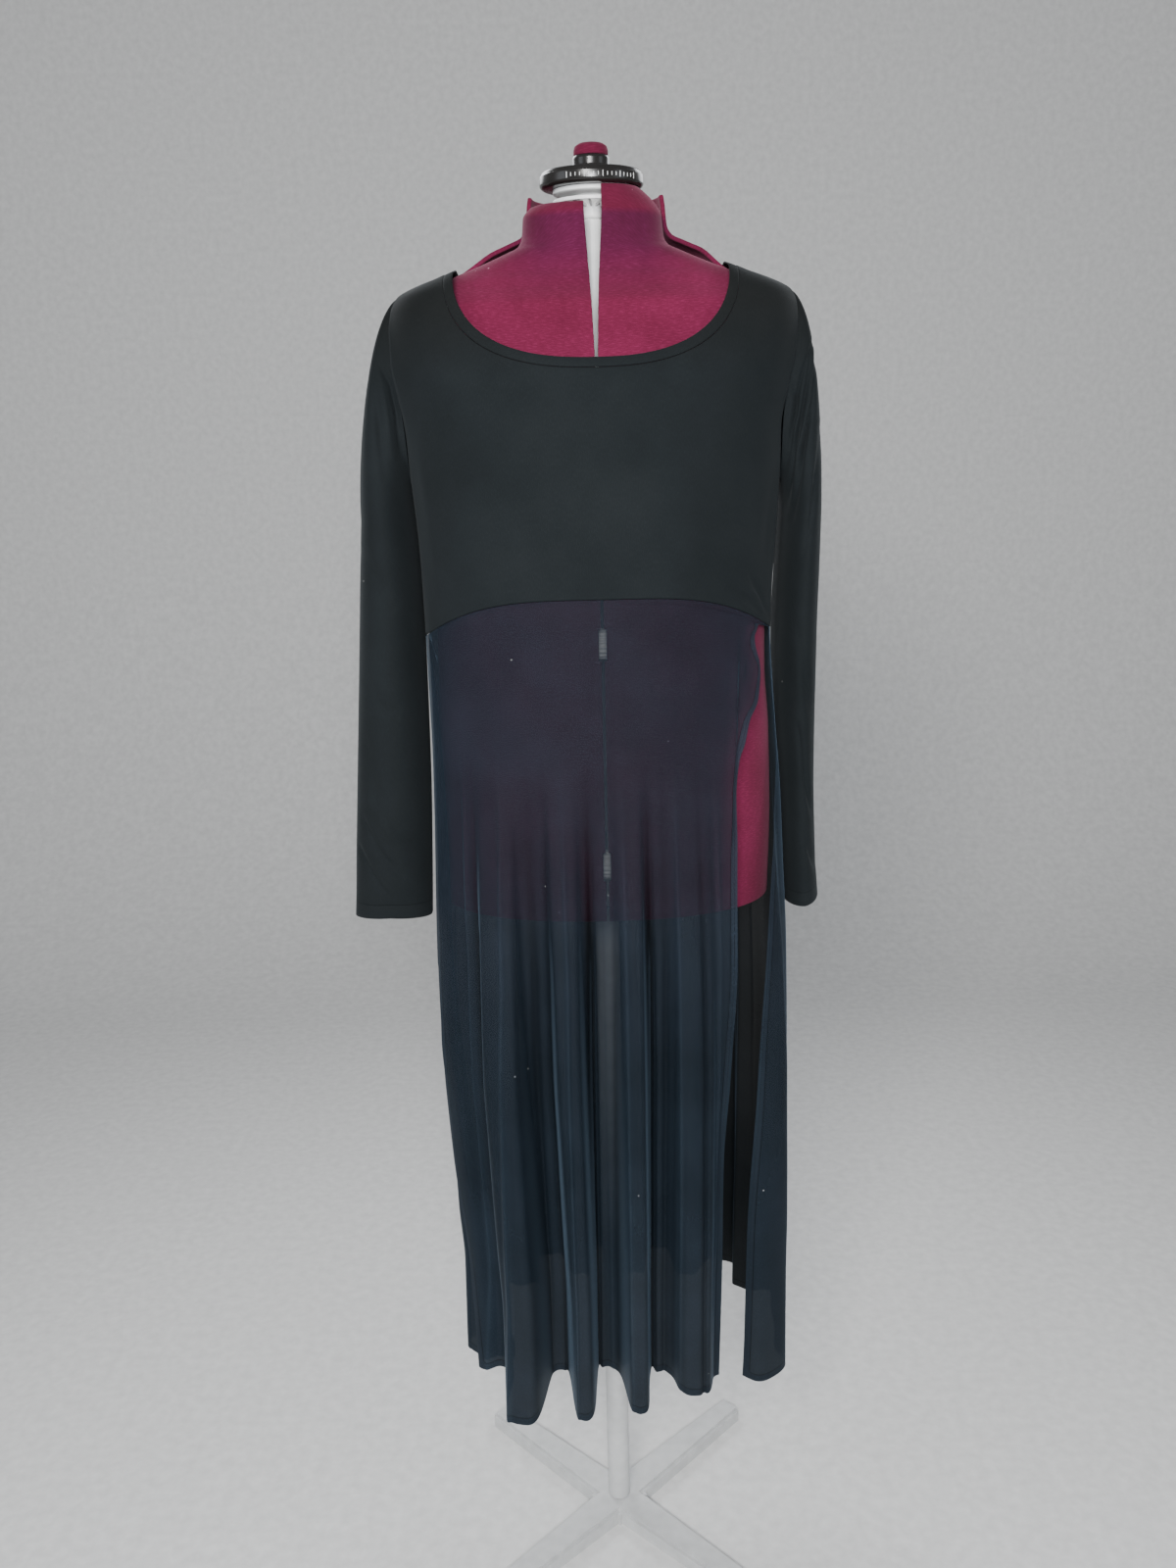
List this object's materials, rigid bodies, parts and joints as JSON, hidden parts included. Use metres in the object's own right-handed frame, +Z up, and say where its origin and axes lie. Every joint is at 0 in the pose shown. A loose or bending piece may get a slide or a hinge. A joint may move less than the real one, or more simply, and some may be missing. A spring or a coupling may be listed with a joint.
{
  "type": "long-sleeve dress on a limbless dress form with a stand",
  "caption": "Long-sleeve jersey dress with a scooped neck, high waist seam and sheer mesh skirt slit at the side, standing on an adjustable dress form.",
  "frame": {"origin": "middle of the stand's underside, on the floor under the pole", "axes": "+Z up along the pole, -Y out of the dress's front, +X to the viewer's right"},
  "size_m": [0.5439, 0.3589, 1.6619],
  "materials": {
    "jersey": "matt fine knit",
    "mesh": "semi-sheer mesh",
    "felt": "woven cover over hard shells",
    "black_gloss": "glossy",
    "white_plastic": "satin",
    "pale_metal": "satin pale grey paint"
  },
  "bodies": {
    "root": {"bodice_front": "jersey", "bodice_back": "jersey", "neck_binding": "jersey", "sleeve_left": "jersey", "sleeve_right": "jersey", "skirt_front": "mesh", "skirt_back": "mesh", "form_front_left": "felt", "form_front_right": "felt", "form_back_left": "felt", "form_back_right": "felt", "knob_cap": "felt", "knob_collar": "black_gloss", "neck_ring": "black_gloss", "neck_hub": "white_plastic", "post": "white_plastic", "setting_wheel_upper": "white_plastic", "setting_wheel_lower": "white_plastic", "front_bar_upper": "white_plastic", "front_bar_lower": "white_plastic", "back_bar_upper": "white_plastic", "back_bar_lower": "white_plastic", "pole": "pale_metal", "base": "pale_metal"}
  },
  "joints": []
}
